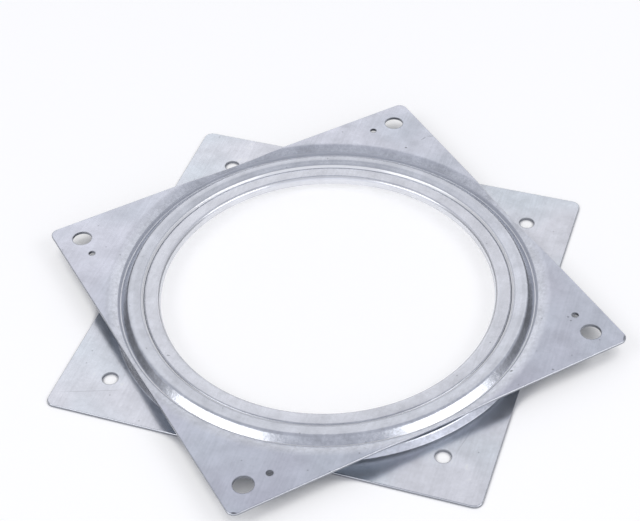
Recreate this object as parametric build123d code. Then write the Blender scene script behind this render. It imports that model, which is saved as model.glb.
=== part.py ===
# Lazy susan bearing: two pressed square plates, ball race between them, lower plate hemmed over the upper.
# Row frame: origin on the base plane under the race axis, +Z up the axis, base plate square to X and Y. Units mm.
import os
from math import cos, radians, sin

from build123d import *

# Sheet and balls
SHEET = 1.0                         # galvanised sheet
BALL_D = 5.556                      # 7/32 in balls
BALL_COUNT = 24
BALL_PLAY = 0.192                   # running play of a ball to each race
THICK = BALL_D + 2 * (BALL_PLAY + SHEET)    # over both plates, 5/16 in
MID = THICK / 2
FACE = SHEET / 2                    # mounting face to the middle of the sheet

# Square blanks
SIDE = 152.4                        # 6 in
CORNER_R = 3.0
BLANK_R = SIDE                      # the race is pressed in a blank wider than the square
REST_YAW = -43.0                    # how far the upper plate is turned on the base at rest, degrees

# Pressed ring, from the mounting face in to the lip
RACE_R = SIDE / 2 - 6.6             # pitch circle of the balls, close to the middle of each side
CREST_OUT_R = RACE_R + 1.26         # level top of the arch over the balls
CREST_IN_R = RACE_R - 0.5
GROOVE_IN_R = RACE_R + 4.0          # groove round the outside of the arch
GROOVE_OUT_R = GROOVE_IN_R + 0.7
GROOVE_DEPTH = 2.3
STEP_R = GROOVE_OUT_R + 1.55        # die line where the side of the groove steepens
STEP_DEPTH = 0.95
FOLD_R = STEP_R + 2.85              # middle of the soft fold in the mounting face
LEDGE_R = RACE_R - 1.6              # inner foot of the arch, where a ledge starts
LEDGE_DEPTH = 0.38
KNEE_R = RACE_R - 3.2               # edge of the ledge, above the crevice
KNEE_DEPTH = 0.55
LIP_FOOT_R = KNEE_R - 0.45          # where the lip levels out
RACE_BENDS = [bend * SHEET for bend in (5.0, 0.6, 0.7, 0.7, 3.5, 2.5, 1.5, 1.0, 0.9)]

# Neck and hem of the base plate, and the upper plate's lip that runs under the hem
HEM_OUT_R = LIP_FOOT_R - 0.7
HEM_BEND_R = HEM_OUT_R - 0.85       # from here out the hem droops
HEM_DROOP = 0.25
HEM_DEPTH = 1.2                     # hem's top under the mounting face
HEM_PLAY = 0.3                      # running play, hem to lip
HOLE_R = HEM_OUT_R - 5.55           # clear centre hole
NECK_PLAY = 0.6                     # running play, lip to neck
NECK_BENDS = [SHEET, SHEET, SHEET]
LIP_DEPTH = HEM_DEPTH + SHEET + HEM_DROOP + HEM_PLAY
LIP_IN_R = HOLE_R + SHEET + NECK_PLAY

# Holes
BASE_HOLE_D = 5.6                   # screw holes of the base plate
BASE_HOLE_INSET = 17.0
TOP_HOLE_D = 7.1                    # screw and driver holes of the upper plate
TOP_HOLE_INSET = 9.4
PILOT_D = 2.4                       # pilot holes beside them
PILOT_STEP = 9.4                    # along the edge from the corner hole


def race_line(z_face, inward):
    """Middle of the sheet from the blank's rim to the foot of the lip, pressed from z_face in the inward sense."""
    def at(r, depth):
        return (r, z_face + inward * (FACE + depth))
    return [
        at(BLANK_R, 0), at(FOLD_R, 0), at(STEP_R, STEP_DEPTH),
        at(GROOVE_OUT_R, GROOVE_DEPTH), at(GROOVE_IN_R, GROOVE_DEPTH),
        at(CREST_OUT_R, 0), at(CREST_IN_R, 0),
        at(LEDGE_R, LEDGE_DEPTH), at(KNEE_R, KNEE_DEPTH), at(LIP_FOOT_R, LIP_DEPTH),
    ]


def pressed(points, bends):
    """Square plate: sheet of even thickness along a bent line, turned round the axis and trimmed to the blank."""
    line = FilletPolyline(*points, radius=bends)
    section = Plane.XZ * trace(line, line_width=SHEET)
    outline = Pos(0, 0, -THICK) * RectangleRounded(SIDE, SIDE, CORNER_R)
    return revolve(section, axis=Axis.Z) & extrude(outline, amount=3 * THICK)


def holes(diameter, x, y):
    """Four round cutters, a quarter turn apart."""
    cutter = Pos(x, y, MID) * Cylinder(diameter / 2, 2 * THICK)
    return [Rot(0, 0, 90 * k) * cutter for k in range(4)]


# Upper plate: race, and a lip that ends short of the neck
lip_end = (LIP_IN_R, THICK - FACE - LIP_DEPTH)
top_corner = SIDE / 2 - TOP_HOLE_INSET
top_plate = pressed(race_line(THICK, -1) + [lip_end], RACE_BENDS)
top_plate -= holes(TOP_HOLE_D, top_corner, top_corner)
top_plate -= holes(PILOT_D, top_corner - PILOT_STEP, top_corner)
top_plate = Rot(0, 0, REST_YAW) * top_plate

# Base plate: the same race upside down, its lip drawn up as a neck and turned out over the upper plate's lip
neck_r = HOLE_R + FACE
hem_z = THICK - HEM_DEPTH - FACE
neck_line = [(neck_r, FACE + LIP_DEPTH), (neck_r, hem_z), (HEM_BEND_R, hem_z), (HEM_OUT_R, hem_z - HEM_DROOP)]
base_corner = SIDE / 2 - BASE_HOLE_INSET
bottom_plate = pressed(race_line(0, 1) + neck_line, RACE_BENDS + NECK_BENDS)
bottom_plate -= holes(BASE_HOLE_D, base_corner, base_corner)

# Balls, evenly spaced round the race
balls = []
for k in range(BALL_COUNT):
    a = radians(360 * k / BALL_COUNT)
    balls.append(Pos(RACE_R * cos(a), RACE_R * sin(a), MID) * Sphere(BALL_D / 2))

os.makedirs("parts", exist_ok=True)
export_step(top_plate, "parts/top_plate.step")
export_step(bottom_plate, "parts/bottom_plate.step")
export_step(Compound(children=balls), "parts/steel_balls.step")
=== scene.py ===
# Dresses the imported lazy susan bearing: pressed galvanised plates, loose balls, pale studio floor.
from math import atan2, cos, hypot, pi, radians, sin, tan

import bpy
from mathutils import Matrix, Vector


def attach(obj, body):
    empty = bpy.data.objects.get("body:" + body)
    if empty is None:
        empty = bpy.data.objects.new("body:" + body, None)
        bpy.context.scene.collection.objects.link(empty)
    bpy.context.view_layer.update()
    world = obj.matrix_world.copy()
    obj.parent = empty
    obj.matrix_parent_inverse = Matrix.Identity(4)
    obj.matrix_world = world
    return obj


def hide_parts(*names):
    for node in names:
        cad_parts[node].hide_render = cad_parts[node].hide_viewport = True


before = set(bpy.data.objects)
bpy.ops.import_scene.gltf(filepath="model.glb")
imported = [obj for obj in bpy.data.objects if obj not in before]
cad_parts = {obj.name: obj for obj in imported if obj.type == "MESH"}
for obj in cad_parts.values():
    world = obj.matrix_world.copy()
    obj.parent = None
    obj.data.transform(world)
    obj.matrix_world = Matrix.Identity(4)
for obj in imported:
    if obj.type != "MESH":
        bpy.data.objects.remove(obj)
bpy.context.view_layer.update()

MM = 0.001

# Sizes in mm. The ring's section is the solid's, with small corrections from the photograph's reflections
SHEET, THICK = 1.0, 7.94
FACE = SHEET / 2               # mounting face to the middle of the sheet
SIDES = 4
SIDE, CORNER_R, BLANK_R = 152.4, 3.0, 152.4
REST_YAW = radians(-43.0)
BALL_D, BALL_COUNT = 5.556, 24
RACE_R = 69.6
GROOVE_IN_R, STEP_R, KNEE_R = 73.6, 74.8, 66.55
LIP_FOOT_R, LIP_DEPTH, LIP_IN_R = 65.95, 2.75, 61.3    # lip that runs under the hem
# Corners of the pressed ring's section, from the mounting face in: radius, depth, bend
TOP_FOLD = ((78.7, 0.0, 5.0), (STEP_R, 1.2, 0.3), (74.45, 2.3, 0.6))    # soft fold, die line, groove
BASE_FOLD = ((76.2, 0.0, 0.8), (74.4, 2.3, 0.7))                        # foot of the ridge, groove
ARCH = (
    (GROOVE_IN_R, 2.3, 0.7), (70.86, 0.0, 1.8), (69.1, 0.08, 2.5),      # arch over the balls
    (68.0, 0.3, 1.5), (KNEE_R, 0.53, 0.2), (66.1, 1.05, 0.35),          # ledge and its knee, which has a painted highlight line
    (LIP_FOOT_R, LIP_DEPTH, 0.9),
)
TOP_RIM_R, BASE_RIM_R = STEP_R + 0.2, BASE_FOLD[0][0] - 0.25            # the rim is not trimmed further in
HEM_OUT_R, HEM_BEND_R, HEM_DEPTH, HEM_DROOP = 65.4, 64.8, 1.2, 0.25
HOLE_R = 59.7
NECK_BENDS = [1.0, 1.0, 0.7]
BASE_HOLE_D, BASE_HOLE_INSET = 5.6, 17.0
TOP_HOLE_D, TOP_HOLE_INSET = 7.1, 9.4
PILOT_D, PILOT_STEP = 2.4, 9.4
EDGE_ROUND = 0.3               # rolled-over edge that shearing leaves

# How finely the plates are drawn
RIM_STEPS = 4                  # points over the rolled edge
COLUMNS = 440                  # sections round a plate
CROWD = 0.75                   # how much closer they stand at the corners
BEND_STEP = radians(9)         # turn between points on a bend
GUARD = 0.3                    # width in mm of the row that keeps an edge's shading off the flat beside it
CREASE = radians(35)           # edges sharper than this stay sharp
WELD = 0.0005                  # points closer than this, in mm, are one
CUT_SHARE = 0.6                # share of a face's corners on the cut from which the face is part of it
PUNCH_POINTS = 72              # points round a hole
BALL_SPLITS = 4                # subdivisions of a ball

# Wear seen in the photograph, on each plate: x, y, length, width in mm, turn in degrees, strength
TOP_MARKS = (
    (85.4, 8.1, 1.0, 0.7, 0, 0.5), (86.7, 6.7, 0.6, 0.5, 0, 0.8), (72.5, -21.5, 1.0, 0.7, 30, 0.9),
    (85.8, -17.7, 0.9, 0.6, 0, 0.6), (78.7, -10.9, 0.7, 0.5, 0, 0.35), (5.6, 81.0, 1.0, 0.6, 0, 0.9),
    (10.6, 88.4, 3.0, 0.5, 60, 0.4), (13.0, 90.6, 3.4, 0.5, 20, 0.4), (105.9, 3.7, 4.0, 0.9, 92, 0.6),
    (4.6, -105.9, 2.6, 0.9, 5, 0.9), (-68.8, -5.6, 2.6, 0.25, 45, 0.3), (-71.2, -17.7, 0.7, 0.5, 0, 0.5),
)
BASE_MARKS = (
    (-64.0, -66.8, 25.0, 0.3, 19, 0.2), (64.2, -50.4, 15.0, 0.3, 78, 0.2), (-65.1, 3.6, 1.0, 0.5, 0, 0.5),
    (-41.5, -48.2, 1.5, 0.7, 0, 0.4),
)

# Zinc's patterns, by the size of a feature in mm; the grain is drawn coarser than zinc's, so that it shows
MOTTLE, HUE, GRAIN, PIT_CELL = 9, 30, 1.3, 7
STREAK_WIDE, STREAK_LONG = 0.9, 35     # rolling streaks
HAIR_WIDE, HAIR_LONG = 0.45, 45        # hairlines that the die left round the ring
HUE_SLICE = 3.0                        # picks which of the noise's patterns the blue cast follows
RING_EDGE = (79.5, 76.0)               # radii over which the flat gives way to the ring
SLOPE_EDGE = (70.0, 71.5)              # radii outside which the ring was stretched most
LINE_EDGE = 0.08                       # softness of the painted highlight lines and the painted shade lines in the creases
HOLE_SHADE_SPAN, HOLE_SHADE_DARK = (0.3, 0.05), 0.5     # painted shade round a hole's rim, from its outside in, and its darkness
TEAR, TEAR_DEPTH = 0.4, 0.05           # torn grain of a sheared edge
GREASE = 1.5                           # patches in the balls' film

# Strengths of the patterns
SPECK_FLAT, SPECK_SLOPE = 0.2, 0.6             # grain in the tone, on the flat and added on the slope
SWELL_FLAT, SWELL_SLOPE = 0.15, 2.4            # grain in the relief, the same way
HAIR_RELIEF, RELIEF = 0.35, 0.012              # hairlines in the relief, and the relief's height in mm
HAIR_SHARE, LINE_SHARE = 0.3, 0.3              # hairlines among the streaks in the ring, and both in the tone
TONE_SPAN, TONE_PLAY = (0.41, 0.89), 0.14      # span of the patterns, and how far they sway the zinc
CAST_SPAN, CAST_MOST = (0.4, 0.62), 0.6        # span of the noise that the blue cast follows, and its most
PIT_EDGE, PIT_RARE, PIT_DARK = (0.05, 0.025), 0.9, 0.35     # edge and choice of the cells that hold a pit
MARK_EDGE = (1.1, 0.5)                         # softness of a mark, in halves of its size
UNDERSIDE = (-0.2, -0.6)                       # normals between which a face starts to face down and takes painted shade
ROLLED = (0.1, 0.35)                           # normals between which a cut gives way to its rolled corner
GLOSS_SPAN, GLOSS = (0.3, 0.7), (0.22, 0.27)   # span of the mottle, and the roughness that goes with it
# roughness of the painted highlight lines
HIGHLIGHT_GLOSS = 0.12
BLOOM, HIGHLIGHT_BLOOM = 0.16, 0.8             # share of the zinc's chalky bloom in its shine, on the flat and on the painted highlight lines

# Camera, fitted to the corners, holes and ring lines of the photograph
FRAME_W = 640
FOCAL_PX = 1616.2
SENSOR_MM = 36.0
CAMERA_MM = (140.75, -389.38, 409.24)
CAMERA_RIGHT = (0.947881, 0.317105, -0.031082)
CAMERA_DOWN = (0.196181, -0.657705, -0.727281)
CAMERA_TURN = radians(20.18)   # how far left of the row's +Y the camera heads

# Room light, relative to white; turns are degrees either side of the camera's heading, rises above the table
ROOM_LEVEL = 0.47
CORNER_LEVEL, CORNER_RISE = 0.03, (18, 44)      # dim low at both back corners
FRONT_LEVEL, FRONT_RISE = 0.95, (22, 46)        # bright low in front
FRONT_TURN = (85, 115)                          # where the one gives way to the other
WALL_LEVEL = 0.84                               # back wall, in soft folds of light
WALL_FOLD, WALL_FOLD_TURN = 0.09, 35
WALL_RISE = (62, 52)                            # where its top fades
WALL_TURN = (48, 34)                            # where its sides fade
WALL_FOOT, WALL_NARROWS = 24, 2.0               # below this rise it narrows by so many degrees per degree

# Soft boxes on both sides of the part, a little towards the camera: degrees, metres and watts
BOX_TURN, BOX_RISE, BOX_AWAY = 115, 44, 1.6
BOX_SIZE, BOX_POWER = (1.05, 0.6), 4.3

# Table
TABLE_REACH = 3.0              # metres from the middle
TABLE_GLOW = 0.49              # added to its paper so that it reads as white
COVER_REACH = 10.0             # how far above the table a plate still dims it, mm
COVER_SPAN = (0.53, 0.75)      # openness from covered to open
COVERED_GLOW = 0.04

# Kinds of node that are used often
MATH, VECTOR, RAMP, MIX = "ShaderNodeMath", "ShaderNodeVectorMath", "ShaderNodeMapRange", "ShaderNodeMix"
SPLIT, JOIN = "ShaderNodeSeparateXYZ", "ShaderNodeCombineXYZ"
NOISE, COORDS, MAPPING = "ShaderNodeTexNoise", "ShaderNodeTexCoord", "ShaderNodeMapping"
METAL, NORMAL = "ShaderNodeBsdfPrincipled", "ShaderNodeNewGeometry"
NAMED, STORE = "GeometryNodeInputNamedAttribute", "GeometryNodeStoreNamedAttribute"
SAMPLE, COMPARE = "GeometryNodeSampleIndex", "FunctionNodeCompare"
MOVE, CIRCLE, ON_POINTS = "GeometryNodeTransform", "GeometryNodeMeshCircle", "GeometryNodeInstanceOnPoints"
REALIZE, SMOOTH = "GeometryNodeRealizeInstances", "GeometryNodeSetShadeSmooth"
FINISH = "GeometryNodeSetMaterial"


def srgb(code):
    """Linear RGBA from an sRGB hex value."""
    parts = [int(code[i:i + 2], 16) / 255 for i in (1, 3, 5)]
    return (*(p / 12.92 if p <= 0.04045 else ((p + 0.055) / 1.055) ** 2.4 for p in parts), 1.0)


def put(tree, kind, inputs=(), **settings):
    """Adds a node with its settings and its inputs: a socket is linked, and anything else is set."""
    made = tree.nodes.new(kind)
    for name, value in settings.items():
        setattr(made, name, value)
    for key, value in dict(inputs).items():
        if isinstance(value, bpy.types.NodeSocket):
            tree.links.new(value, made.inputs[key])
        else:
            made.inputs[key].default_value = value
    return made


# Section of the sheet

def bent_line(points, bends):
    """Points along a polyline with corners bent to the given radii, each with its way along and its left."""
    ways = [(Vector(b) - Vector(a)).normalized() for a, b in zip(points, points[1:])]
    rows = []
    for corner, bend, before, after in zip(points[1:], bends, ways, ways[1:]):
        turn = before.angle_signed(after)
        side = Vector((before.y, -before.x)) * (1 if turn > 0 else -1)
        start = Vector(corner) - before * bend * tan(abs(turn) / 2)
        centre = start + side * bend
        steps = max(2, round(abs(turn) / BEND_STEP))
        for k in range(steps + 1):
            spin = Matrix.Rotation(-turn * k / steps, 2)
            rows.append((centre + spin @ (start - centre), spin @ before))
    rows.append((Vector(points[-1]), ways[-1]))
    return [(spot, way, Vector((-way.y, way.x))) for spot, way in rows]


def rolled_edge():
    """Inset and drop of each point over a sheared edge, from the face to the cut."""
    turns = [pi / 2 * k / RIM_STEPS for k in range(RIM_STEPS + 1)]
    return [(EDGE_ROUND * (1 - sin(t)), EDGE_ROUND * (1 - cos(t))) for t in turns]


def fold_shape(fold):
    """Turn of the fold in the mounting face and the radius where it starts."""
    (fold_r, _, bend), (step_r, step_depth, _) = fold[:2]
    turn = atan2(step_depth, fold_r - step_r)
    return turn, fold_r + bend * tan(turn / 2)


def plate_section(z_face, inward, fold, tail, tail_bends):
    """Closed section of a plate, in along its mounting face and out along the other.
    Each row: r, z, inset from the blank's rim, radius of the fold (0 inside it), on a cut."""
    corners = [(BLANK_R, 0.0, 0.0), *fold, *ARCH]
    line = bent_line([(r, z_face + inward * (FACE + depth)) for r, depth, bend in corners] + tail,
                     [bend for r, depth, bend in corners[1:]] + tail_bends)
    turn, start = fold_shape(fold)
    folded = 1 + max(2, round(turn / BEND_STEP))
    end, end_way, end_side = line[-1]
    guarded = EDGE_ROUND + GUARD
    sides = []
    for sign in (1, -1):
        z_flat = z_face if sign > 0 else z_face + inward * SHEET
        bend = fold[0][2] + sign * FACE
        rows = [(BLANK_R, z_flat + sign * inward * drop, inset, bend, 1)
                for inset, drop in reversed(rolled_edge())]
        rows.append((BLANK_R, z_flat, guarded, bend, 0))
        rows.append((start + GUARD, z_flat, guarded, bend, 0))
        for k, (spot, way, side) in enumerate(line[:-1]):
            p = spot + side * FACE * inward * sign
            if k < folded:
                rows.append((p.x, z_flat, guarded, bend, 0))
            else:
                rows.append((p.x, p.y, EDGE_ROUND, 0, 0))
        outward = end_side * inward * sign
        rows.append((*(end - end_way * guarded + outward * FACE), EDGE_ROUND, 0, 0))
        for inset, drop in rolled_edge():
            p = end - end_way * inset + outward * (FACE - drop)
            rows.append((p.x, p.y, EDGE_ROUND, 0, 1))
        sides.append(rows)
    loop = sides[0] + sides[1][::-1]
    loop.append(loop[0])
    return loop if inward < 0 else loop[::-1]


def section_mesh(name, rows):
    """Section as points with their inset, fold and cut, for the plate's tree to turn round the axis."""
    mesh = bpy.data.meshes.new(name)
    mesh.from_pydata([(r * MM, 0, z * MM) for r, z, *rest in rows], [], [])
    for column, label in enumerate(("inset", "fold", "cut"), start=2):
        layer = mesh.attributes.new(label, "FLOAT", "POINT")
        layer.data.foreach_set("value", [row[column] * (1 if label == "cut" else MM) for row in rows])
    return mesh


# Geometry Nodes trees

def new_tree(name, sockets):
    """Empty tree with a geometry in and out and the named inputs; returns it and its input node's sockets."""
    tree = bpy.data.node_groups.new(name, "GeometryNodeTree")
    tree.interface.new_socket("Geometry", in_out="INPUT", socket_type="NodeSocketGeometry")
    for label, kind in sockets.items():
        tree.interface.new_socket(label, in_out="INPUT", socket_type="NodeSocket" + kind)
    tree.interface.new_socket("Geometry", in_out="OUTPUT", socket_type="NodeSocketGeometry")
    return tree, put(tree, "NodeGroupInput").outputs


def pressed_plate_tree():
    """Turns a section round the axis, trims it to a rounded square, cuts its holes and sets its materials."""
    tree, given = new_tree("pressed_plate", {
        "Columns": "Int", "Rows": "Int", "Crowding": "Float",
        "Half Side": "Float", "Corner Radius": "Float",
        "Fold Start": "Float", "Fold End": "Float", "Fold Turn": "Float",
        "Inward": "Float", "Yaw": "Float", "Crease": "Float",
        "Hole Radius": "Float", "Hole Circle": "Float", "Hole Angle": "Float",
        "Pilots": "Bool", "Pilot Radius": "Float", "Pilot Circle": "Float", "Pilot Angle": "Float",
        "Sheet": "Material", "Cut": "Material",
    })
    section, rows, half, corner = (given[key] for key in ("Geometry", "Rows", "Half Side", "Corner Radius"))

    # each grid point knows its column and its row in the section
    columns = put(tree, MATH, {0: given["Columns"], 1: 1.0}, operation="ADD").outputs[0]
    grid = put(tree, "GeometryNodeMeshGrid", {"Vertices X": columns, "Vertices Y": rows}).outputs["Mesh"]
    index = put(tree, "GeometryNodeInputIndex").outputs[0]
    row = put(tree, MATH, {0: index, 1: rows}, operation="MODULO").outputs[0]
    column = put(tree, MATH, {0: index, 1: rows}, operation="DIVIDE").outputs[0]
    column = put(tree, MATH, {0: column}, operation="FLOOR").outputs[0]

    # the section's own values at that row
    spot = put(tree, "GeometryNodeInputPosition").outputs[0]
    spot = put(tree, SAMPLE, {0: section, 1: spot, "Index": row}, data_type="FLOAT_VECTOR").outputs[0]
    spot = put(tree, SPLIT, {0: spot}).outputs
    told = {}
    for label in ("inset", "fold", "cut"):
        held = put(tree, NAMED, {"Name": label}, data_type="FLOAT").outputs[0]
        told[label] = put(tree, SAMPLE, {0: section, 1: held, "Index": row}).outputs[0]

    # angle round the axis, with the columns crowded at the corners
    even = put(tree, MATH, {0: column, 1: given["Columns"]}, operation="DIVIDE").outputs[0]
    even = put(tree, MATH, {0: even, 1: 2 * pi}, operation="MULTIPLY").outputs[0]
    sway = put(tree, MATH, {0: even, 1: SIDES}, operation="MULTIPLY").outputs[0]
    sway = put(tree, MATH, {0: sway}, operation="SINE").outputs[0]
    sway = put(tree, MATH, {0: sway, 1: given["Crowding"]}, operation="MULTIPLY").outputs[0]
    angle = put(tree, MATH, {0: sway, 1: 1 / SIDES, 2: even}, operation="MULTIPLY_ADD").outputs[0]

    # reach of the rounded square at that angle: off is the angle from the middle of the nearest side
    off = put(tree, MATH, {0: angle, 1: pi / 4}, operation="ADD").outputs[0]
    off = put(tree, MATH, {0: off, 1: pi / 2}, operation="FLOORED_MODULO").outputs[0]
    off = put(tree, MATH, {0: off, 1: pi / 4}, operation="SUBTRACT").outputs[0]
    off = put(tree, MATH, {0: off}, operation="ABSOLUTE").outputs[0]
    straight = put(tree, MATH, {0: off}, operation="COSINE").outputs[0]
    straight = put(tree, MATH, {0: half, 1: straight}, operation="DIVIDE").outputs[0]
    inner = put(tree, MATH, {0: half, 1: corner}, operation="SUBTRACT").outputs[0]
    centre = put(tree, MATH, {0: inner, 1: 2 ** 0.5}, operation="MULTIPLY").outputs[0]
    lean = put(tree, MATH, {0: pi / 4, 1: off}, operation="SUBTRACT").outputs[0]
    along = put(tree, MATH, {0: lean}, operation="COSINE").outputs[0]
    along = put(tree, MATH, {0: along, 1: centre}, operation="MULTIPLY").outputs[0]
    across = put(tree, MATH, {0: lean}, operation="SINE").outputs[0]
    across = put(tree, MATH, {0: across, 1: centre}, operation="MULTIPLY").outputs[0]
    across = put(tree, MATH, {0: across, 1: across}, operation="MULTIPLY").outputs[0]
    square = put(tree, MATH, {0: corner, 1: corner}, operation="MULTIPLY").outputs[0]
    depth = put(tree, MATH, {0: square, 1: across}, operation="SUBTRACT").outputs[0]
    depth = put(tree, MATH, {0: depth, 1: 0.0}, operation="MAXIMUM").outputs[0]
    depth = put(tree, MATH, {0: depth}, operation="SQRT").outputs[0]
    rounded = put(tree, MATH, {0: along, 1: depth}, operation="ADD").outputs[0]
    slope = put(tree, MATH, {0: off}, operation="TANGENT").outputs[0]
    slope = put(tree, MATH, {0: slope, 1: half}, operation="MULTIPLY").outputs[0]
    at_corner = put(tree, MATH, {0: slope, 1: inner}, operation="GREATER_THAN").outputs[0]
    reach = put(tree, MIX, {0: at_corner, 2: straight, 3: rounded}).outputs[0]

    # trim the section there, and let the rim follow the fold where a side runs into it
    limit = put(tree, MATH, {0: reach, 1: told["inset"]}, operation="SUBTRACT").outputs[0]
    radius = put(tree, MATH, {0: spot["X"], 1: limit}, operation="MINIMUM").outputs[0]
    folds = put(tree, MATH, {0: told["fold"], 1: 0.0}, operation="GREATER_THAN").outputs[0]
    least = put(tree, MATH, {0: folds, 1: given["Fold End"]}, operation="MULTIPLY").outputs[0]
    radius = put(tree, MATH, {0: radius, 1: least}, operation="MAXIMUM").outputs[0]
    past = put(tree, MATH, {0: given["Fold Start"], 1: radius}, operation="SUBTRACT").outputs[0]
    past = put(tree, MATH, {0: past, 1: 0.0}, operation="MAXIMUM").outputs[0]
    arc = put(tree, MATH, {0: given["Fold Turn"]}, operation="SINE").outputs[0]
    arc = put(tree, MATH, {0: arc, 1: told["fold"]}, operation="MULTIPLY").outputs[0]
    bent = put(tree, MATH, {0: past, 1: arc}, operation="MINIMUM").outputs[0]
    flank = put(tree, MATH, {0: past, 1: bent}, operation="SUBTRACT").outputs[0]
    fall = put(tree, MATH, {0: given["Fold Turn"]}, operation="TANGENT").outputs[0]
    bent = put(tree, MATH, {0: bent, 1: bent}, operation="MULTIPLY").outputs[0]
    dip = put(tree, MATH, {0: told["fold"], 1: told["fold"]}, operation="MULTIPLY").outputs[0]
    dip = put(tree, MATH, {0: dip, 1: bent}, operation="SUBTRACT").outputs[0]
    dip = put(tree, MATH, {0: dip, 1: 0.0}, operation="MAXIMUM").outputs[0]
    dip = put(tree, MATH, {0: dip}, operation="SQRT").outputs[0]
    dip = put(tree, MATH, {0: told["fold"], 1: dip}, operation="SUBTRACT").outputs[0]
    dip = put(tree, MATH, {0: flank, 1: fall, 2: dip}, operation="MULTIPLY_ADD").outputs[0]
    dip = put(tree, MATH, {0: dip, 1: folds}, operation="MULTIPLY").outputs[0]
    height = put(tree, MATH, {0: dip, 1: given["Inward"], 2: spot["Z"]}, operation="MULTIPLY_ADD").outputs[0]
    place_x = put(tree, MATH, {0: angle}, operation="COSINE").outputs[0]
    place_x = put(tree, MATH, {0: place_x, 1: radius}, operation="MULTIPLY").outputs[0]
    place_y = put(tree, MATH, {0: angle}, operation="SINE").outputs[0]
    place_y = put(tree, MATH, {0: place_y, 1: radius}, operation="MULTIPLY").outputs[0]
    place = put(tree, JOIN, {0: place_x, 1: place_y, 2: height}).outputs[0]

    # the closed shell, with its sheared faces marked
    shell = put(tree, STORE, {0: grid, "Name": "cut", "Value": told["cut"]}).outputs[0]
    shell = put(tree, "GeometryNodeSetPosition", {0: shell, "Position": place}).outputs[0]
    shell = put(tree, "GeometryNodeMergeByDistance", {0: shell, "Distance": WELD * MM}).outputs[0]
    cut = put(tree, NAMED, {"Name": "cut"}, data_type="FLOAT").outputs[0]
    cut = put(tree, COMPARE, {0: cut, 1: CUT_SHARE}, data_type="FLOAT", operation="GREATER_THAN").outputs[0]
    on_faces = {"data_type": "BOOLEAN", "domain": "FACE"}
    shell = put(tree, STORE, {0: shell, "Name": "sheared", "Value": cut}, **on_faces).outputs[0]

    # four holes near the corners, and four pilots beside them
    for label, wanted in (("Hole", None), ("Pilot", given["Pilots"])):
        spots = put(tree, CIRCLE, {"Vertices": SIDES, "Radius": given[label + " Circle"]}).outputs[0]
        turn = put(tree, JOIN, {2: given[label + " Angle"]}).outputs[0]
        spots = put(tree, MOVE, {0: spots, "Rotation": turn}).outputs[0]
        punch = put(tree, "GeometryNodeMeshCylinder", {
            "Vertices": PUNCH_POINTS, "Radius": given[label + " Radius"], "Depth": 3 * THICK * MM}).outputs[0]
        punch = put(tree, STORE, {0: punch, "Name": "sheared", "Value": True}, **on_faces).outputs[0]
        punch = put(tree, ON_POINTS, {0: spots, "Instance": punch}).outputs[0]
        punch = put(tree, REALIZE, {0: punch}).outputs[0]
        holed = put(tree, "GeometryNodeMeshBoolean", {0: shell, 1: punch},
                    operation="DIFFERENCE", solver="EXACT").outputs[0]
        if wanted:
            holed = put(tree, "GeometryNodeSwitch", {0: wanted, 1: shell, 2: holed}).outputs[0]
        shell = holed

    # turned to its place, smooth but for its sharp edges
    turn = put(tree, JOIN, {2: given["Yaw"]}).outputs[0]
    shell = put(tree, MOVE, {0: shell, "Rotation": turn}).outputs[0]
    shell = put(tree, SMOOTH, {0: shell, 2: True}, domain="FACE").outputs[0]
    bend = put(tree, "GeometryNodeInputMeshEdgeAngle").outputs[0]
    sharp = put(tree, COMPARE, {0: bend, 1: given["Crease"]}, data_type="FLOAT").outputs[0]
    shell = put(tree, SMOOTH, {0: shell, 1: sharp, 2: False}, domain="EDGE").outputs[0]
    shell = put(tree, REALIZE, {0: shell}).outputs[0]
    shell = put(tree, FINISH, {0: shell, "Material": given["Sheet"]}).outputs[0]
    cut = put(tree, NAMED, {"Name": "sheared"}, data_type="BOOLEAN").outputs[0]
    shell = put(tree, FINISH, {0: shell, 1: cut, "Material": given["Cut"]}).outputs[0]
    put(tree, "NodeGroupOutput", {0: shell})
    return tree


def ball_ring_tree():
    """Balls at even steps round the race."""
    tree, given = new_tree("ball_ring", {
        "Balls": "Int", "Ball Radius": "Float", "Race Radius": "Float", "Height": "Float",
        "Steel": "Material",
    })
    spots = put(tree, CIRCLE, {"Vertices": given["Balls"], "Radius": given["Race Radius"]}).outputs[0]
    lift = put(tree, JOIN, {2: given["Height"]}).outputs[0]
    spots = put(tree, MOVE, {0: spots, "Translation": lift}).outputs[0]
    ball = put(tree, "GeometryNodeMeshIcoSphere", {
        "Radius": given["Ball Radius"], "Subdivisions": BALL_SPLITS}).outputs[0]
    balls = put(tree, ON_POINTS, {0: spots, "Instance": ball}).outputs[0]
    balls = put(tree, REALIZE, {0: balls}).outputs[0]
    balls = put(tree, SMOOTH, {0: balls, 2: True}, domain="FACE").outputs[0]
    balls = put(tree, FINISH, {0: balls, "Material": given["Steel"]}).outputs[0]
    put(tree, "NodeGroupOutput", {0: balls})
    return tree


def made_by(tree, name, mesh, values):
    """Runs a tree on a mesh with these values and keeps the result as a plain mesh object."""
    maker = bpy.data.objects.new(name + "_maker", mesh)
    bpy.context.scene.collection.objects.link(maker)
    modifier = maker.modifiers.new(tree.name, "NODES")
    modifier.node_group = tree
    for item in tree.interface.items_tree:
        if item.in_out == "INPUT" and item.name in values:
            modifier[item.identifier] = values[item.name]
    bpy.context.view_layer.update()
    evaluated = maker.evaluated_get(bpy.context.evaluated_depsgraph_get())
    result = bpy.data.meshes.new_from_object(evaluated)
    result.name = name
    bpy.data.objects.remove(maker)
    piece = bpy.data.objects.new(name, result)
    bpy.context.scene.collection.objects.link(piece)
    return piece


# Materials

def fresh_material(name):
    """Empty material; returns it, its tree and its output node."""
    material = bpy.data.materials.new(name)
    material.use_nodes = True
    material.node_tree.nodes.clear()
    return material, material.node_tree, put(material.node_tree, "ShaderNodeOutputMaterial")


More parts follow.
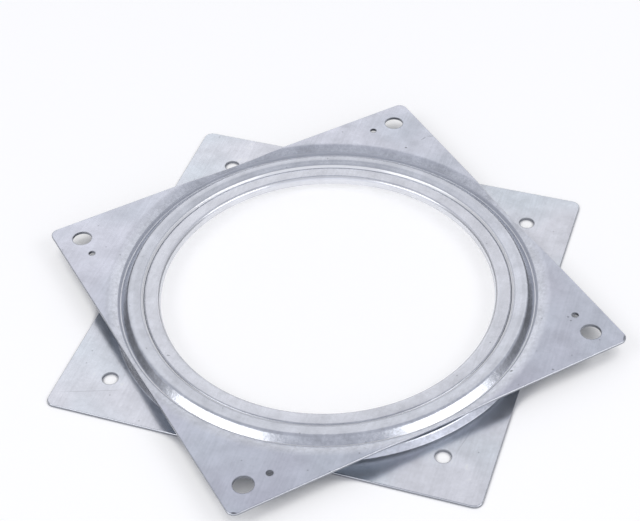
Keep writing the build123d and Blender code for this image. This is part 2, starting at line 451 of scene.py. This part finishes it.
def galvanised_sheet(name, colours, turn, marks, holes, highlight_lines, crease_shade_lines=(), light_falloff=None, underside_shade=0.0):
    """Rolled steel under a zinc coat: part satin mirror, part chalky bloom. The flat shows a slow lilac and
    blue mottle that also sways its gloss, fine grain and faint rolling streaks. Round the ring the die left
    hairlines and orange peel on the slope; white lines there are painted highlight, and grey lines in the
    creases are painted shade. Pits and scratches are dark, and each hole has a dark ring of painted shade.
    Colours are the bright and dull ends of the flat, its blue cast and the ring; the last two arguments paint
    light that runs from dull to bright across the plate, and shade that darkens the underside."""
    bright, dull, tint, ring = (srgb(code) for code in colours)
    material, tree, output = fresh_material(name)
    rgba = {"data_type": "RGBA"}
    spot = put(tree, COORDS).outputs["Object"]
    spot = put(tree, VECTOR, {0: spot, "Scale": 1 / MM}, operation="SCALE").outputs[0]
    parts = put(tree, SPLIT, {0: spot}).outputs
    flat = put(tree, JOIN, {0: parts["X"], 1: parts["Y"]}).outputs[0]
    radius = put(tree, VECTOR, {0: flat}, operation="LENGTH").outputs["Value"]

    # patterns
    mottle = put(tree, NOISE, {
        "Vector": spot, "Scale": 1 / MOTTLE, "Detail": 3.0, "Roughness": 0.6}).outputs[0]
    hue = put(tree, NOISE, {"Vector": spot, "W": HUE_SLICE, "Scale": 1 / HUE, "Detail": 1.0},
              noise_dimensions="4D").outputs[0]
    grain = put(tree, NOISE, {
        "Vector": spot, "Scale": 1 / GRAIN, "Detail": 2.0, "Roughness": 0.55}).outputs[0]
    along = put(tree, MAPPING, {
        "Vector": flat, "Rotation": (0, 0, -turn), "Scale": (1 / STREAK_WIDE, 1 / STREAK_LONG, 1)}).outputs[0]
    streak = put(tree, NOISE, {"Vector": along, "Scale": 1.0, "Detail": 2.0}).outputs[0]
    slow = put(tree, VECTOR, {0: flat, "Scale": 1 / HAIR_LONG}, operation="SCALE").outputs[0]
    slow = put(tree, SPLIT, {0: slow}).outputs
    turned = put(tree, MATH, {0: radius, 1: 1 / HAIR_WIDE}, operation="MULTIPLY").outputs[0]
    turned = put(tree, JOIN, {0: turned, 1: slow["X"], 2: slow["Y"]}).outputs[0]
    hair = put(tree, NOISE, {"Vector": turned, "Scale": 1.0, "Detail": 2.0, "Roughness": 0.6}).outputs[0]
    in_ring, drawn = (
        put(tree, RAMP, {"Value": radius, "From Min": edge[0], "From Max": edge[1]}).outputs[0]
        for edge in (RING_EDGE, SLOPE_EDGE))
    drawn = put(tree, MATH, {0: drawn, 1: in_ring}, operation="MULTIPLY").outputs[0]

    # small pits in a few of the cells and the larger marks, which are wear, and painted shade round the
    # holes' rims
    cell = put(tree, "ShaderNodeTexVoronoi", {"Vector": flat, "Scale": 1 / PIT_CELL},
               voronoi_dimensions="2D").outputs
    pit = put(tree, RAMP, {
        "Value": cell["Distance"], "From Min": PIT_EDGE[0], "From Max": PIT_EDGE[1]}).outputs[0]
    chosen = put(tree, SPLIT, {0: cell["Color"]}).outputs["X"]
    chosen = put(tree, MATH, {0: chosen, 1: PIT_RARE}, operation="GREATER_THAN").outputs[0]
    wear_and_rim_shade = put(tree, MATH, {0: pit, 1: chosen}, operation="MULTIPLY").outputs[0]
    wear_and_rim_shade = put(tree, MATH, {0: wear_and_rim_shade, 1: PIT_DARK}, operation="MULTIPLY").outputs[0]
    for x, y, length, width, lie, strength in marks:
        inside = put(tree, MAPPING, {
            "Vector": flat, "Location": (x, y, 0), "Rotation": (0, 0, radians(lie)),
            "Scale": (length / 2, width / 2, 1)}, vector_type="TEXTURE").outputs[0]
        inside = put(tree, VECTOR, {0: inside}, operation="LENGTH").outputs["Value"]
        inside = put(tree, RAMP, {
            "Value": inside, "From Min": MARK_EDGE[0], "From Max": MARK_EDGE[1],
            "To Max": strength}).outputs[0]
        wear_and_rim_shade = put(tree, MATH, {0: wear_and_rim_shade, 1: inside}, operation="MAXIMUM").outputs[0]
    # painted shade: a dark ring round each hole's rim
    for x, y, size in holes:
        for quarter in range(SIDES):
            lie = turn + quarter * pi / 2
            place = (x * cos(lie) - y * sin(lie), x * sin(lie) + y * cos(lie), 0)
            gap = put(tree, VECTOR, {0: flat, 1: place}, operation="DISTANCE").outputs["Value"]
            rim = put(tree, RAMP, {
                "Value": gap, "From Min": size / 2 + HOLE_SHADE_SPAN[0], "From Max": size / 2 + HOLE_SHADE_SPAN[1],
                "To Max": HOLE_SHADE_DARK}).outputs[0]
            wear_and_rim_shade = put(tree, MATH, {0: wear_and_rim_shade, 1: rim}, operation="MAXIMUM").outputs[0]

    # painted highlight lines and painted shade lines in the creases, round the ring
    bands = []
    for circles in (highlight_lines, crease_shade_lines):
        band = 0.0
        for middle, width, strength in circles:
            line = put(tree, MATH, {0: radius, 1: middle}, operation="SUBTRACT").outputs[0]
            line = put(tree, MATH, {0: line}, operation="ABSOLUTE").outputs[0]
            line = put(tree, RAMP, {
                "Value": line, "From Min": width / 2 + LINE_EDGE, "From Max": width / 2 - LINE_EDGE,
                "To Max": strength}).outputs[0]
            band = put(tree, MATH, {0: band, 1: line}, operation="MAXIMUM").outputs[0]
        bands.append(band)
    painted_highlight, painted_crease_shade = bands

    # tone from the patterns, then the colour it scales
    lines = put(tree, RAMP, {"Value": in_ring, "To Max": HAIR_SHARE}).outputs[0]
    lines = put(tree, MIX, {0: lines, 2: streak, 3: hair}).outputs[0]
    speck = put(tree, MATH, {0: drawn, 1: SPECK_SLOPE, 2: SPECK_FLAT}, operation="MULTIPLY_ADD").outputs[0]
    tone = put(tree, MATH, {0: grain, 1: 0.5}, operation="SUBTRACT").outputs[0]
    tone = put(tree, MATH, {0: tone, 1: speck, 2: mottle}, operation="MULTIPLY_ADD").outputs[0]
    tone = put(tree, MATH, {0: lines, 1: LINE_SHARE, 2: tone}, operation="MULTIPLY_ADD").outputs[0]
    tone = put(tree, RAMP, {
        "Value": tone, "From Min": TONE_SPAN[0], "From Max": TONE_SPAN[1],
        "To Min": 1 - TONE_PLAY, "To Max": 1 + TONE_PLAY}).outputs[0]
    # painted light: the flat is dull on one side and bright on the other
    across = 0.5
    if light_falloff:
        across = put(tree, VECTOR, {0: flat, 1: light_falloff}, operation="DOT_PRODUCT").outputs["Value"]
        across = put(tree, MATH, {0: across, 1: 0.5}, operation="ADD", use_clamp=True).outputs[0]
    base = put(tree, MIX, {0: across, 6: dull, 7: bright}, **rgba).outputs[2]
    cast = put(tree, RAMP, {
        "Value": hue, "From Min": CAST_SPAN[0], "From Max": CAST_SPAN[1], "To Max": CAST_MOST}).outputs[0]
    base = put(tree, MIX, {0: cast, 6: base, 7: tint}, **rgba).outputs[2]
    base = put(tree, MIX, {0: in_ring, 6: base, 7: ring}, **rgba).outputs[2]
    base = put(tree, VECTOR, {0: base, "Scale": tone}, operation="SCALE").outputs[0]
    # painted shade: grey in the creases
    if crease_shade_lines:
        base = put(tree, MIX, {0: painted_crease_shade, 6: base, 7: srgb("#B8BBC3")}, **rgba).outputs[2]
    # painted highlight: white on the highlight lines
    base = put(tree, MIX, {0: painted_highlight, 6: base, 7: srgb("#FFFFFF")}, **rgba).outputs[2]
    # painted shade: faces that face down are darkened
    if underside_shade:
        facing = put(tree, NORMAL).outputs["Normal"]
        facing = put(tree, SPLIT, {0: facing}).outputs["Z"]
        facing = put(tree, RAMP, {
            "Value": facing, "From Min": UNDERSIDE[0], "From Max": UNDERSIDE[1],
            "To Max": underside_shade}).outputs[0]
        base = put(tree, MIX, {0: facing, 6: base, 7: srgb("#66727C")}, **rgba).outputs[2]
    # dark wear, and the painted shade round the holes
    base = put(tree, MIX, {0: wear_and_rim_shade, 6: base, 7: srgb("#2A2C31")}, **rgba).outputs[2]
    rough = put(tree, RAMP, {
        "Value": mottle, "From Min": GLOSS_SPAN[0], "From Max": GLOSS_SPAN[1],
        "To Min": GLOSS[0], "To Max": GLOSS[1]}).outputs[0]
    rough = put(tree, RAMP, {"Value": painted_highlight, "To Min": rough, "To Max": HIGHLIGHT_GLOSS}).outputs[0]

    # relief: faint grain that swells to orange peel where the sheet was stretched, and hairlines in the ring
    swell = put(tree, MATH, {0: drawn, 1: SWELL_SLOPE, 2: SWELL_FLAT}, operation="MULTIPLY_ADD").outputs[0]
    relief = put(tree, MATH, {0: grain, 1: swell}, operation="MULTIPLY").outputs[0]
    fine = put(tree, MATH, {0: hair, 1: in_ring}, operation="MULTIPLY").outputs[0]
    relief = put(tree, MATH, {0: fine, 1: HAIR_RELIEF, 2: relief}, operation="MULTIPLY_ADD").outputs[0]
    bump = put(tree, "ShaderNodeBump", {
        "Height": relief, "Strength": 1.0, "Distance": RELIEF * MM}).outputs[0]
    satin = put(tree, METAL, {
        "Base Color": base, "Metallic": 1.0, "Roughness": rough, "Normal": bump}).outputs[0]
    bloom = put(tree, "ShaderNodeBsdfDiffuse", {"Color": base, "Normal": bump}).outputs[0]
    # the painted highlight lines take a large share of white bloom
    chalk = put(tree, RAMP, {"Value": painted_highlight, "To Min": BLOOM, "To Max": HIGHLIGHT_BLOOM}).outputs[0]
    # the painted shade in the creases is matt
    if crease_shade_lines:
        chalk = put(tree, MATH, {0: chalk, 1: painted_crease_shade}, operation="MAXIMUM").outputs[0]
    whole = put(tree, "ShaderNodeMixShader", {0: chalk, 1: satin, 2: bloom}).outputs[0]
    tree.links.new(whole, output.inputs["Surface"])
    return material


def sheared_edge(name):
    """Sheared rim of the sheet: a smooth rolled-over corner that catches the lamps, above a half torn cut."""
    material, tree, output = fresh_material(name)
    rgba = {"data_type": "RGBA"}
    spot = put(tree, COORDS).outputs["Object"]
    tear = put(tree, NOISE, {"Vector": spot, "Scale": 1 / (TEAR * MM), "Detail": 3.0}).outputs[0]
    cut = put(tree, MIX, {0: tear, 6: srgb("#8A8D95"), 7: srgb("#B4B7BE")}, **rgba).outputs[2]
    facing = put(tree, NORMAL).outputs["Normal"]
    facing = put(tree, SPLIT, {0: facing}).outputs["Z"]
    corner = put(tree, RAMP, {"Value": facing, "From Min": ROLLED[0], "From Max": ROLLED[1]}).outputs[0]
    base = put(tree, MIX, {0: corner, 6: cut, 7: srgb("#D8DADF")}, **rgba).outputs[2]
    rough = put(tree, RAMP, {"Value": corner, "To Min": 0.45, "To Max": 0.22}).outputs[0]
    torn = put(tree, RAMP, {"Value": corner, "To Min": 0.2, "To Max": 0.02}).outputs[0]
    bump = put(tree, "ShaderNodeBump", {
        "Height": tear, "Strength": torn, "Distance": TEAR_DEPTH * MM}).outputs[0]
    shader = put(tree, METAL, {
        "Base Color": base, "Metallic": 1.0, "Roughness": rough, "Normal": bump}).outputs[0]
    tree.links.new(shader, output.inputs["Surface"])
    return material


def ball_steel(name):
    """Ground and polished bearing steel: a near mirror under a thin film of grease."""
    material, tree, output = fresh_material(name)
    spot = put(tree, COORDS).outputs["Object"]
    film = put(tree, NOISE, {"Vector": spot, "Scale": 1 / (GREASE * MM), "Detail": 3.0}).outputs[0]
    base = put(tree, MIX, {0: film, 6: srgb("#B9BABD"), 7: srgb("#D0D1D4")}, data_type="RGBA").outputs[2]
    rough = put(tree, RAMP, {"Value": film, "To Min": 0.08, "To Max": 0.2}).outputs[0]
    shader = put(tree, METAL, {"Base Color": base, "Metallic": 1.0, "Roughness": rough}).outputs[0]
    tree.links.new(shader, output.inputs["Surface"])
    return material


# Pieces

base_hole = SIDE / 2 - BASE_HOLE_INSET
top_hole = SIDE / 2 - TOP_HOLE_INSET
pilot_x = top_hole - PILOT_STEP
# painted highlight lines and painted shade lines in the creases: radius, width in mm, strength
base_sheet = galvanised_sheet(
    "galvanised_base_sheet", ("#F6F7FC", "#E6E8F0", "#E2ECF3", "#E8EAF0"), 0.0, BASE_MARKS,
    holes=((base_hole, base_hole, BASE_HOLE_D),),
    highlight_lines=((HOLE_R + 0.4, 1.0, 0.5),))
# the upper sheet also takes painted light across its flat and painted shade on its underside
top_sheet = galvanised_sheet(
    "galvanised_upper_sheet", ("#ECEEF7", "#C4C6D3", "#D3DAE4", "#E2E5EC"), REST_YAW, TOP_MARKS,
    holes=((top_hole, top_hole, TOP_HOLE_D), (pilot_x, top_hole, PILOT_D)),
    highlight_lines=((66.0, 0.7, 1.0), (GROOVE_IN_R + 0.2, 0.4, 1.0)),
    crease_shade_lines=((STEP_R - 0.35, 0.8, 0.9), (KNEE_R + 0.1, 0.3, 0.6)),
    light_falloff=(-0.003, 0.0042, 0), underside_shade=0.8)
cut_edge = sheared_edge("sheared_sheet_edge")
balls_finish = ball_steel("polished_ball_steel")

neck_r = HOLE_R + FACE
hem_z = THICK - HEM_DEPTH - FACE
neck = [(neck_r, FACE + LIP_DEPTH), (neck_r, hem_z), (HEM_BEND_R, hem_z), (HEM_OUT_R, hem_z - HEM_DROOP)]
base_rows = plate_section(0, 1, BASE_FOLD, neck, NECK_BENDS)
top_rows = plate_section(THICK, -1, TOP_FOLD, [(LIP_IN_R, THICK - FACE - LIP_DEPTH)], [])

plate_tree = pressed_plate_tree()
blank = {
    "Columns": COLUMNS, "Crowding": CROWD, "Half Side": SIDE / 2 * MM, "Corner Radius": CORNER_R * MM,
    "Crease": CREASE, "Cut": cut_edge, "Hole Angle": pi / 4,
}
base_turn, base_start = fold_shape(BASE_FOLD)
top_turn, top_start = fold_shape(TOP_FOLD)
base_plate = made_by(plate_tree, "base_plate_pressing", section_mesh("base_section", base_rows), blank | {
    "Rows": len(base_rows), "Inward": 1.0, "Yaw": 0.0, "Sheet": base_sheet,
    "Fold Start": base_start * MM, "Fold End": BASE_RIM_R * MM, "Fold Turn": base_turn,
    "Hole Radius": BASE_HOLE_D / 2 * MM, "Hole Circle": hypot(base_hole, base_hole) * MM, "Pilots": False,
})
top_plate = made_by(plate_tree, "top_plate_pressing", section_mesh("top_section", top_rows), blank | {
    "Rows": len(top_rows), "Inward": -1.0, "Yaw": REST_YAW, "Sheet": top_sheet,
    "Fold Start": top_start * MM, "Fold End": TOP_RIM_R * MM, "Fold Turn": top_turn,
    "Hole Radius": TOP_HOLE_D / 2 * MM, "Hole Circle": hypot(top_hole, top_hole) * MM, "Pilots": True,
    "Pilot Radius": PILOT_D / 2 * MM, "Pilot Circle": hypot(pilot_x, top_hole) * MM,
    "Pilot Angle": atan2(top_hole, pilot_x),
})
ball_set = made_by(ball_ring_tree(), "ball_set", bpy.data.meshes.new("ball_seed"), {
    "Balls": BALL_COUNT, "Ball Radius": BALL_D / 2 * MM, "Race Radius": RACE_R * MM,
    "Height": THICK / 2 * MM, "Steel": balls_finish,
})
for piece, body, node, finish in (
    (base_plate, "base", "bottom_plate", "zinc_sheet"),
    (top_plate, "turntable", "top_plate", "zinc_sheet"),
    (ball_set, "ball_ring", "steel_balls", "ball_steel"),
):
    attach(piece, body)
    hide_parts(node)


# Studio

def white_floor():
    """Matt white table that reads as paper white to the camera and in the metal, takes the shadow, and is dim
    where a plate covers it."""
    mesh = bpy.data.meshes.new("studio_floor")
    corners = [(x * TABLE_REACH, y * TABLE_REACH, 0) for x, y in ((-1, -1), (1, -1), (1, 1), (-1, 1))]
    mesh.from_pydata(corners, [], [(0, 1, 2, 3)])
    floor = bpy.data.objects.new("studio_floor", mesh)
    bpy.context.scene.collection.objects.link(floor)
    material, tree, output = fresh_material("matt_white_table")
    rays = put(tree, "ShaderNodeLightPath").outputs
    seen = put(tree, MATH, {0: rays["Is Glossy Ray"], 1: rays["Is Camera Ray"]}, operation="ADD").outputs[0]
    cover = put(tree, "ShaderNodeAmbientOcclusion", {"Distance": COVER_REACH * MM}).outputs["AO"]
    cover = put(tree, RAMP, {
        "Value": cover, "From Min": COVER_SPAN[0], "From Max": COVER_SPAN[1],
        "To Min": COVERED_GLOW, "To Max": TABLE_GLOW}).outputs[0]
    # inside the ring the table lies open, and no cover is taken from it
    spot = put(tree, COORDS).outputs["Object"]
    spot = put(tree, VECTOR, {0: spot}, operation="LENGTH").outputs["Value"]
    cover = put(tree, RAMP, {
        "Value": spot, "From Min": KNEE_R * MM, "From Max": STEP_R * MM,
        "To Min": TABLE_GLOW, "To Max": cover}).outputs[0]
    paper = put(tree, "ShaderNodeBsdfDiffuse", {"Color": srgb("#DADADC")}).outputs[0]
    glow = put(tree, MATH, {0: seen, 1: cover}, operation="MULTIPLY").outputs[0]
    glow = put(tree, "ShaderNodeEmission", {"Color": srgb("#FFFEFB"), "Strength": glow}).outputs[0]
    whole = put(tree, "ShaderNodeAddShader", {0: paper, 1: glow}).outputs[0]
    tree.links.new(whole, output.inputs["Surface"])
    mesh.materials.append(material)


def soft_box(name, turn):
    """Soft box lamp aimed at the part from this turn to the left of the camera's heading, in degrees."""
    lamp = bpy.data.lights.new(name, "AREA")
    lamp.shape, lamp.energy = "RECTANGLE", BOX_POWER
    lamp.size, lamp.size_y = BOX_SIZE
    heading, rise = CAMERA_TURN + pi / 2 + radians(turn), radians(BOX_RISE)
    way = Vector((cos(heading) * cos(rise), sin(heading) * cos(rise), sin(rise)))
    holder = bpy.data.objects.new(name, lamp)
    holder.location = way * BOX_AWAY
    holder.rotation_euler = way.to_track_quat("Z", "Y").to_euler()
    bpy.context.scene.collection.objects.link(holder)


def studio_world():
    """Pale room: a bright back wall, dim low corners beside it, grey overhead, bright low in front, and white
    straight to the camera."""
    world = bpy.data.worlds.new("pale_studio")
    world.use_nodes = True
    tree = world.node_tree
    tree.nodes.clear()
    smooth = {"interpolation_type": "SMOOTHSTEP"}
    way = put(tree, COORDS).outputs["Generated"]
    way = put(tree, "ShaderNodeVectorRotate", {"Vector": way, "Angle": -CAMERA_TURN},
              rotation_type="Z_AXIS").outputs[0]
    way = put(tree, SPLIT, {0: way}).outputs
    rise = put(tree, MATH, {0: way["Z"]}, operation="ARCSINE").outputs[0]
    rise = put(tree, MATH, {0: rise}, operation="DEGREES").outputs[0]
    turn = put(tree, MATH, {0: way["X"], 1: way["Y"]}, operation="ARCTAN2").outputs[0]
    turn = put(tree, MATH, {0: turn}, operation="DEGREES").outputs[0]
    aside = put(tree, MATH, {0: turn}, operation="ABSOLUTE").outputs[0]

    # dim corners and bright front, each giving way to the grey overhead
    front = put(tree, RAMP, {
        "Value": aside, "From Min": FRONT_TURN[0], "From Max": FRONT_TURN[1]}, **smooth).outputs[0]
    low, start, full = (
        put(tree, MIX, {0: front, 2: corner, 3: fore}).outputs[0]
        for corner, fore in zip((CORNER_LEVEL, *CORNER_RISE), (FRONT_LEVEL, *FRONT_RISE)))
    level = put(tree, RAMP, {
        "Value": rise, "From Min": start, "From Max": full, "To Min": low, "To Max": ROOM_LEVEL},
        **smooth).outputs[0]

    # back wall over them
    fold = put(tree, MATH, {0: turn, 1: 2 * pi / WALL_FOLD_TURN}, operation="MULTIPLY").outputs[0]
    fold = put(tree, MATH, {0: fold}, operation="SINE").outputs[0]
    fold = put(tree, MATH, {0: fold, 1: -WALL_FOLD, 2: WALL_LEVEL}, operation="MULTIPLY_ADD").outputs[0]
    wall = put(tree, RAMP, {
        "Value": rise, "From Min": WALL_RISE[0], "From Max": WALL_RISE[1]}, **smooth).outputs[0]
    foot = put(tree, MATH, {0: WALL_FOOT, 1: rise}, operation="SUBTRACT").outputs[0]
    foot = put(tree, MATH, {0: foot, 1: 0.0}, operation="MAXIMUM").outputs[0]
    sides = put(tree, MATH, {0: foot, 1: WALL_NARROWS, 2: aside}, operation="MULTIPLY_ADD").outputs[0]
    sides = put(tree, RAMP, {
        "Value": sides, "From Min": WALL_TURN[0], "From Max": WALL_TURN[1]}, **smooth).outputs[0]
    wall = put(tree, MATH, {0: wall, 1: sides}, operation="MULTIPLY").outputs[0]
    level = put(tree, MIX, {0: wall, 2: level, 3: fold}).outputs[0]
    tint = put(tree, MIX, {0: wall, 6: srgb("#F0F3FF"), 7: srgb("#FBFBFF")}, data_type="RGBA").outputs[2]
    room = put(tree, "ShaderNodeBackground", {"Color": tint, "Strength": level}).outputs[0]
    white = put(tree, "ShaderNodeBackground", {"Color": srgb("#FDFDFF"), "Strength": 1.0}).outputs[0]
    camera = put(tree, "ShaderNodeLightPath").outputs["Is Camera Ray"]
    whole = put(tree, "ShaderNodeMixShader", {0: camera, 1: room, 2: white}).outputs[0]
    put(tree, "ShaderNodeOutputWorld", {"Surface": whole})
    bpy.context.scene.world = world


def photo_camera():
    """Camera where the photograph was taken from."""
    camera = bpy.data.cameras.new("photo_camera")
    camera.sensor_fit, camera.sensor_width = "HORIZONTAL", SENSOR_MM
    camera.lens = FOCAL_PX / FRAME_W * SENSOR_MM
    camera.clip_start, camera.clip_end = 0.01, 20.0
    right, down = Vector(CAMERA_RIGHT), Vector(CAMERA_DOWN)
    turn = Matrix((right, -down, -right.cross(down))).transposed().to_4x4()
    holder = bpy.data.objects.new("photo_camera", camera)
    holder.matrix_world = Matrix.Translation(Vector(CAMERA_MM) * MM) @ turn
    bpy.context.scene.collection.objects.link(holder)
    bpy.context.scene.camera = holder


white_floor()
studio_world()
soft_box("left_soft_box", BOX_TURN)
soft_box("right_soft_box", -BOX_TURN)
photo_camera()
bpy.context.scene.view_settings.view_transform = "Standard"
